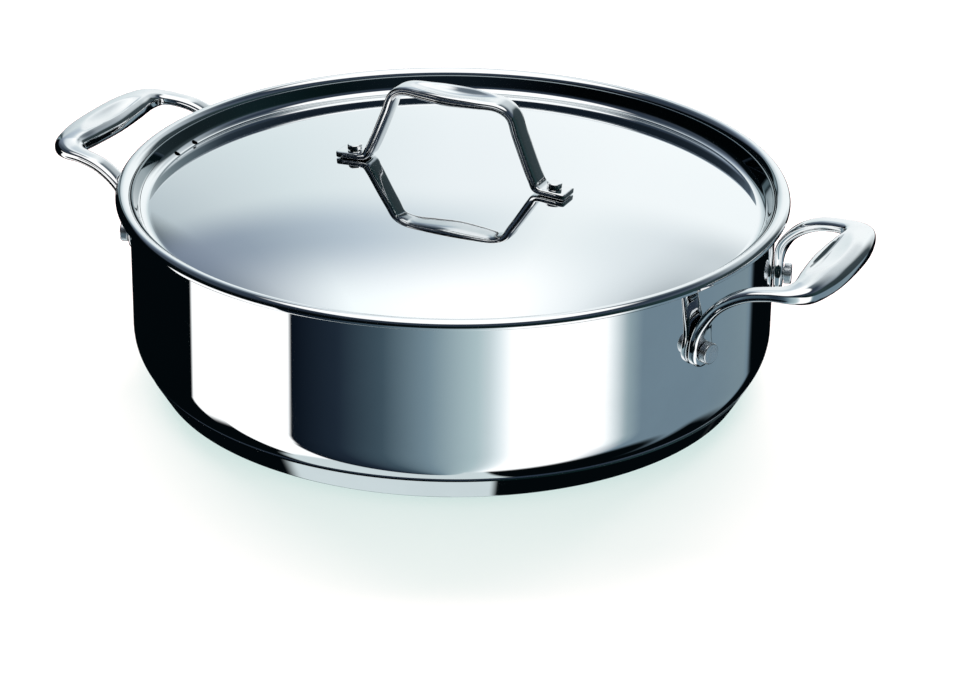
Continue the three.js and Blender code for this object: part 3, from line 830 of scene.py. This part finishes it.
# Studio: a white table with a soft light behind the pan, and black, slate and white cards round it
# that show only in the polish; the cards stand in rings, each with its colours by bearing.
FLOOR_HALF = 6
FLOOR_DROP = 0.2 * MM
FLOOR_GLOW = (0.48, 0.662, 0.634, 1)
FLOOR_MATT = (0.357, 0.234, 0.241, 1)
LAMP_RISE = radians(42)
LAMP_REACH = 3
LAMP_WIDE, LAMP_TALL = 4.5, 1.5
LAMP_WATTS = 355
AMBIENT = (1.2, 1.2, 1.2, 1)
WHITE = (1.25, 1.25, 1.25)
BLACK = (0.001, 0.0025, 0.0035)
SLATE = (0.18, 0.26, 0.32)
PALE = (0.70, 0.79, 0.81)
NAVY = (0.03, 0.045, 0.07)
UNDER_BY_SIDE = [(-1, PALE), (0.12, PALE), (0.14, BLACK), (1, BLACK)]
FRONT_CARD = [(-58.1, WHITE), (-57.9, (0.003, 0.006, 0.012)), (-40, (0.015, 0.026, 0.043)),
              (-24, (0.057, 0.096, 0.127)), (-8, (0.20, 0.29, 0.345)), (9, (0.48, 0.61, 0.64)),
              (13, (0.64, 0.74, 0.77)), (16.3, (0.85, 0.94, 0.97)), (21, WHITE)]
CARD_FEET = [(-180, BLACK), (-92.4, BLACK), (-92, WHITE), (-60.2, WHITE),
             (-59.8, (0.004, 0.008, 0.015)), *FRONT_CARD[2:], (52, WHITE), (68, SLATE),
             (98, SLATE), (108, BLACK), (150, BLACK), (158, (0.45, 0.5, 0.52))]
SIDE_CARDS = [(-180, BLACK), (-104.3, BLACK), (-104.1, WHITE), *FRONT_CARD,
              (55, WHITE), (58, (0.93, 0.99, 1.01)), (64, (0.33, 0.43, 0.47)), (70, SLATE),
              (100, SLATE), (128, (0.215, 0.295, 0.34)), (131, SLATE), (134, BLACK)]
DARK_ROOM = [(-180, (0.95, 1.0, 1.02)), (-172, (0.77, 0.86, 0.88)), (-167, (0.66, 0.74, 0.77)),
             (-163, (0.54, 0.62, 0.66)), (-160.8, (0.03, 0.05, 0.06)), (-159.5, (0.03, 0.05, 0.06)),
             (-158, (0.2, 0.27, 0.3)), (-154.5, (0.2, 0.27, 0.3)), (-153, BLACK), (-20, BLACK),
             (45, (0.006, 0.018, 0.02)), (80, (0.02, 0.045, 0.05)), (112, (0.03, 0.045, 0.05)),
             (134, (0.05, 0.07, 0.08)), (145, (0.80, 0.86, 0.88)), (150, (1.02, 1.07, 1.08)),
             (172, (1.02, 1.06, 1.07)), (180, (0.95, 1.0, 1.02))]
BLUE_BAND = [(-180, (0.74, 0.82, 0.86)), (-174, (0.54, 0.63, 0.71)), (-169, (0.41, 0.49, 0.57)),
             (-166, (0.335, 0.405, 0.49)), (-163, (0.295, 0.355, 0.44)), (-160, (0.21, 0.26, 0.34)),
             (-140, (0.06, 0.08, 0.11)), (-60, (0.01, 0.014, 0.022)),
             (0, (0.03, 0.045, 0.065)), (60, (0.035, 0.05, 0.075)), (108, (0.10, 0.13, 0.17)),
             (130, (0.40, 0.46, 0.50)), (150, (0.62, 0.68, 0.71)), (162, (0.67, 0.73, 0.76)),
             (166, (0.82, 0.88, 0.91)), (170, (0.90, 0.96, 0.98)), (174, (0.97, 1.02, 1.03)),
             (180, (0.74, 0.82, 0.86))]
HIGH_BAND = [(-180, WHITE), (-170, (1.1, 1.16, 1.17)), (-165, (0.76, 0.82, 0.86)),
             (-160, (0.16, 0.20, 0.24)), (-125, NAVY), (125, NAVY), (160, (0.16, 0.20, 0.23)),
             (164, (0.70, 0.76, 0.79)), (168, (0.98, 1.03, 1.05)), (174, WHITE), (180, WHITE)]
CEILING = [(-180, WHITE), (180, WHITE)]
RINGS = [(-0.015, 0.015, CARD_FEET), (-0.69, -0.58, SIDE_CARDS), (-0.18, -0.10, DARK_ROOM),
         (0.40, 0.53, BLUE_BAND), (0.55, 0.76, HIGH_BAND), (0.83, 0.89, CEILING)]
CARD_EDGE = (0.353, -1, 0.05)
LEFT_FOOT, RIGHT_FOOT = 0.875, 0.96
FOOT_SWEEP = 0.5
FOOT_CHANGE = (-0.1, 0.05)
LEAN_HEIGHTS = (-0.85, -0.39)
LEAN = 0.91

floor_mesh = bpy.data.meshes.new("floor")
floor_corners = [(x * FLOOR_HALF, y * FLOOR_HALF, -FLOOR_DROP)
                 for x, y in ((-1, -1), (1, -1), (1, 1), (-1, 1))]
floor_mesh.from_pydata(floor_corners, [], [(0, 1, 2, 3)])
floor = bpy.data.objects.new("floor", floor_mesh)
scene.collection.objects.link(floor)
floor.visible_glossy = False
paper = bpy.data.materials.new("floor_paper")
paper.use_nodes = True
nodes, wire = paper.node_tree.nodes, paper.node_tree.links.new
nodes.remove(nodes["Principled BSDF"])
glow = nodes.new("ShaderNodeEmission")
glow.inputs["Color"].default_value = FLOOR_GLOW
matt = nodes.new("ShaderNodeBsdfDiffuse")
matt.inputs["Color"].default_value = FLOOR_MATT
both = nodes.new("ShaderNodeAddShader")
wire(glow.outputs[0], both.inputs[0])
wire(matt.outputs[0], both.inputs[1])
wire(both.outputs[0], nodes["Material Output"].inputs["Surface"])
floor_mesh.materials.append(paper)

world = bpy.data.worlds.new("studio")
world.use_nodes = True
scene.world = world
nodes, wire = world.node_tree.nodes, world.node_tree.links.new


def cards_along(place, low, high, cards):
    """The colours of a row of cards along a place that runs from low to high."""
    row = nodes.new("ShaderNodeMapRange")
    row.inputs["From Min"].default_value = low
    row.inputs["From Max"].default_value = high
    ramp = nodes.new("ShaderNodeValToRGB")
    for _ in cards[2:]:
        ramp.color_ramp.elements.new(0.5)
    for element, (stop, colour) in zip(ramp.color_ramp.elements, cards):
        element.position = (stop - low) / (high - low)
        element.color = (*colour, 1)
    wire(place, row.inputs["Value"])
    wire(row.outputs["Result"], ramp.inputs["Fac"])
    return ramp.outputs["Color"]


def worked_out(operation, first, second):
    """The outcome of a sum on two values, each a number or a socket."""
    node = nodes.new("ShaderNodeMath")
    node.operation = operation
    for value, put_in in zip((first, second), node.inputs):
        if isinstance(value, (int, float)):
            put_in.default_value = value
        else:
            wire(value, put_in)
    return node.outputs[0]


look = nodes.new("ShaderNodeTexCoord")
turn = nodes.new("ShaderNodeMapping")
turn.inputs["Rotation"].default_value = (0, 0, -VIEW_TURN)
apart = nodes.new("ShaderNodeSeparateXYZ")
wire(look.outputs["Generated"], turn.inputs["Vector"])
wire(turn.outputs["Vector"], apart.inputs[0])
side, back, height = (apart.outputs[axis] for axis in "XYZ")
# Low down the bearings are drawn in, so that the cards lean.
lean = nodes.new("ShaderNodeMapRange")
lean.inputs["From Min"].default_value, lean.inputs["From Max"].default_value = LEAN_HEIGHTS
lean.inputs["To Min"].default_value = LEAN
wire(height, lean.inputs["Value"])
bearing = worked_out("ARCTAN2", side, worked_out("MULTIPLY", back, -1))
bearing = worked_out("MULTIPLY", bearing, 180 / pi)
bearing = worked_out("MULTIPLY", bearing, lean.outputs["Result"])
seen = cards_along(side, -1, 1, UNDER_BY_SIDE)
# The cards' lower edges: a slanting edge on the left, and one that rises to the side on the right.
edge_side, edge_back, edge_height = (worked_out("MULTIPLY", part, by)
                                     for part, by in zip((side, back, height), CARD_EDGE))
in_front = worked_out("ADD", edge_side, worked_out("ADD", edge_back, edge_height))
left_foot = worked_out("MAXIMUM", in_front, worked_out("ADD", height, LEFT_FOOT))
swept = worked_out("MULTIPLY", worked_out("MULTIPLY", side, side), FOOT_SWEEP)
right_foot = worked_out("ADD", worked_out("SUBTRACT", height, swept), RIGHT_FOOT)
across = nodes.new("ShaderNodeMapRange")
across.inputs["From Min"].default_value, across.inputs["From Max"].default_value = FOOT_CHANGE
wire(side, across.inputs["Value"])
wire(left_foot, across.inputs["To Min"])
wire(right_foot, across.inputs["To Max"])
foot = across.outputs["Result"]
for low, high, cards in RINGS:
    rise = nodes.new("ShaderNodeMapRange")
    rise.interpolation_type = "SMOOTHSTEP"
    rise.inputs["From Min"].default_value = low
    rise.inputs["From Max"].default_value = high
    ring = nodes.new("ShaderNodeMix")
    ring.data_type = "RGBA"
    wire(foot if cards is CARD_FEET else height, rise.inputs["Value"])
    wire(rise.outputs["Result"], ring.inputs["Factor"])
    wire(seen, ring.inputs["A"])
    wire(cards_along(bearing, -180, 180, cards), ring.inputs["B"])
    seen = ring.outputs["Result"]
rays = nodes.new("ShaderNodeLightPath")
polish = nodes.new("ShaderNodeMix")
polish.data_type = "RGBA"
polish.inputs["A"].default_value = AMBIENT
wire(rays.outputs["Is Glossy Ray"], polish.inputs["Factor"])
wire(seen, polish.inputs["B"])
wire(polish.outputs["Result"], nodes["Background"].inputs["Color"])

lamp = bpy.data.objects.new("soft_light", bpy.data.lights.new("soft_light", "AREA"))
lamp.data.shape = "RECTANGLE"
lamp.data.size, lamp.data.size_y = LAMP_WIDE, LAMP_TALL
lamp.data.energy = LAMP_WATTS
towards_lamp = Vector((0, cos(LAMP_RISE), sin(LAMP_RISE)))
lamp.location = Matrix.Rotation(VIEW_TURN, 3, "Z") @ (LAMP_REACH * towards_lamp)
lamp.rotation_euler = lamp.location.to_track_quat("Z", "Y").to_euler()
lamp.visible_glossy = False
scene.collection.objects.link(lamp)
